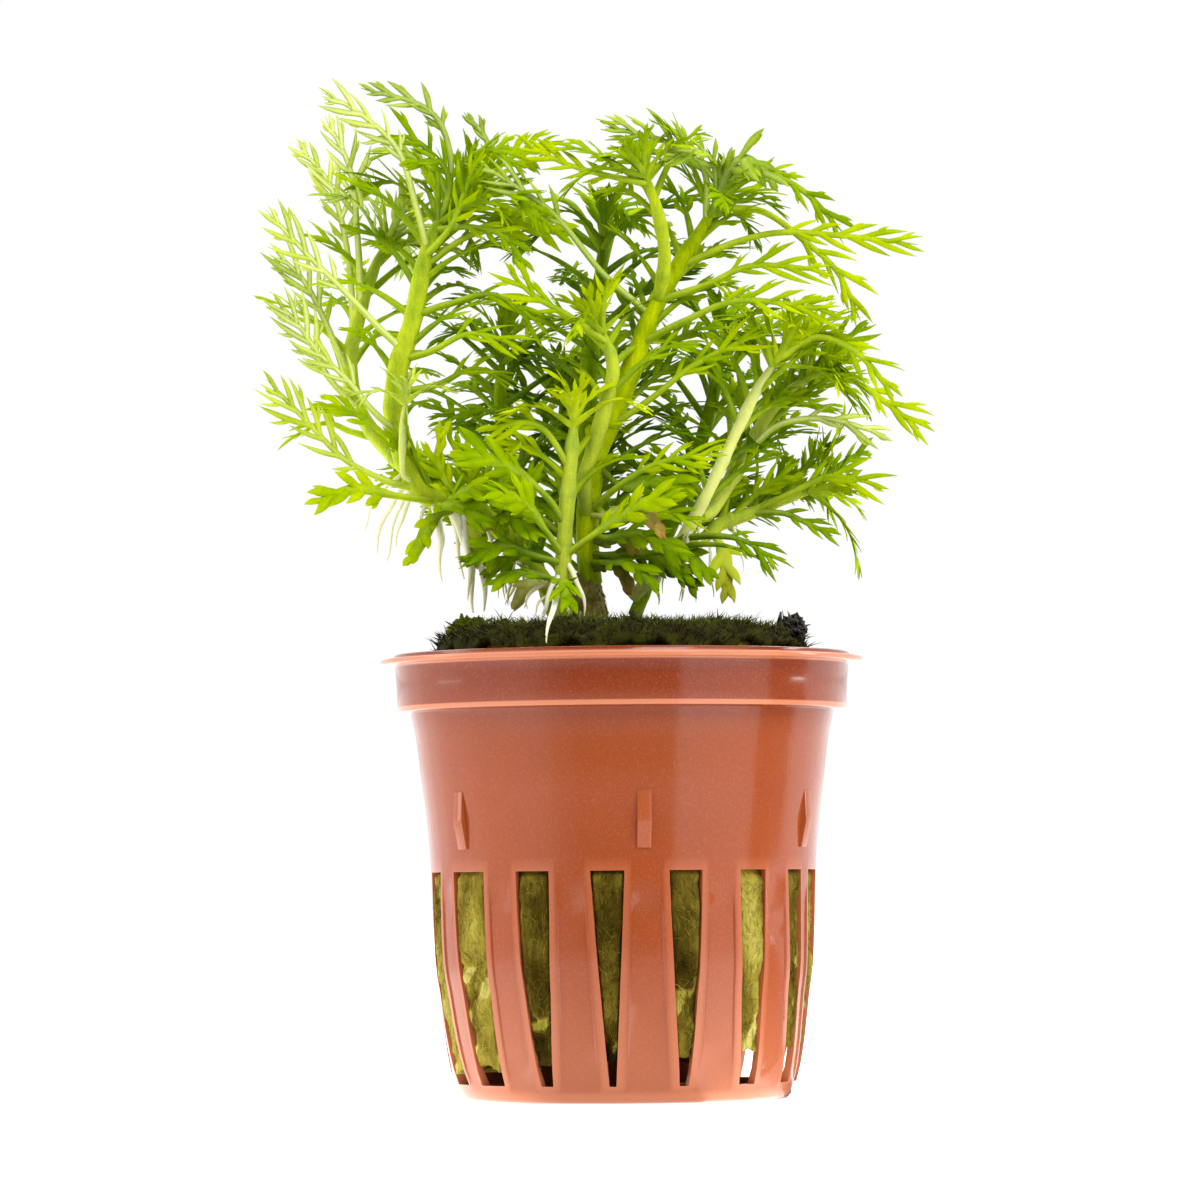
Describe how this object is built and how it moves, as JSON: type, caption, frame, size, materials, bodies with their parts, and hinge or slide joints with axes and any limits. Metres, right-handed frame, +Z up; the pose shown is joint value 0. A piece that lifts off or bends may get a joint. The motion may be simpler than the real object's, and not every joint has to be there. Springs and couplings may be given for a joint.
{
  "type": "potted water violet",
  "caption": "Young feathery-leaved aquarium plant with upright stems, growing from a rock-wool plug in a slotted net pot.",
  "frame": {"origin": "middle of the pot's flat base, where it rests", "axes": "+Z up along the pot's axis, +X to the picture's right, +Y away from the viewer"},
  "size_m": [0.0777, 0.0563, 0.1172],
  "materials": {
    "pot_plastic": "terracotta-brown moulded plastic, semi-gloss",
    "rock_wool": "fibrous mineral wool, stained olive and brown",
    "moss": "fuzzy dark green moss and algae",
    "dark_matter": "rough, nearly black",
    "root_brown": "fibrous yellow-brown root",
    "stem_green": "moist yellow-green plant stem, satin",
    "stem_pale": "moist whitish-yellow plant stem, satin",
    "leaf_green": "thin translucent green leaf, satin",
    "leaf_pale": "thin translucent whitish-green leaf, satin",
    "leaf_yellow": "wilting yellow leaf with a brown tip"
  },
  "bodies": {
    "root": {"net_pot": "pot_plastic", "rockwool_plug": "rock_wool", "moss_mat": "moss", "black_lump": "dark_matter", "dark_crumbs": "dark_matter", "rootstock": "root_brown", "shoot_left": "stem_green", "stem_back": "stem_green", "stem_centre": "stem_green", "stem_centre_fork": "stem_green", "stem_centre_front": "stem_green", "stem_centre_pale": "stem_green", "stem_left": "stem_green", "stem_left_rear": "stem_green", "stem_rear": "stem_green", "stem_rear_left": "stem_green", "stem_rear_right": "stem_green", "stem_right": "stem_pale", "stem_right_low": "stem_green", "stem_right_rear": "stem_green", "leaf_back_high": "leaf_green", "leaf_back_right": "leaf_green", "leaf_centre_left": "leaf_green", "leaf_crown_back": "leaf_green", "leaf_crown_broad": "leaf_green", "leaf_crown_right": "leaf_green", "leaf_crown_top": "leaf_green", "leaf_far_right": "leaf_green", "leaf_far_right_low": "leaf_pale", "leaf_far_right_upper": "leaf_green", "leaf_fork_left": "leaf_green", "leaf_front_low": "leaf_green", "leaf_front_middle": "leaf_green", "leaf_front_right": "leaf_green", "leaf_front_upper": "leaf_green", "leaf_inner_low": "leaf_green", "leaf_inner_middle": "leaf_green", "leaf_inner_upper": "leaf_green", "leaf_left_behind": "leaf_green", "leaf_left_comb": "leaf_green", "leaf_left_far": "leaf_pale", "leaf_left_front": "leaf_green", "leaf_left_low": "leaf_green", "leaf_left_middle": "leaf_green", "leaf_left_pale": "leaf_pale", "leaf_left_pale_tall": "leaf_pale", "leaf_left_top": "leaf_green", "leaf_left_upper": "leaf_green", "leaf_long_left": "leaf_green", "leaf_rear_left": "leaf_green", "leaf_right_ground": "leaf_green", "leaf_right_hanging": "leaf_green", "leaf_right_inner": "leaf_green", "leaf_right_long": "leaf_green", "leaf_right_low": "leaf_green", "leaf_right_middle": "leaf_green", "leaf_right_top": "leaf_green", "leaf_right_upper": "leaf_green", "leaf_top_arching": "leaf_green", "leaf_yellow": "leaf_yellow"}
  },
  "joints": []
}
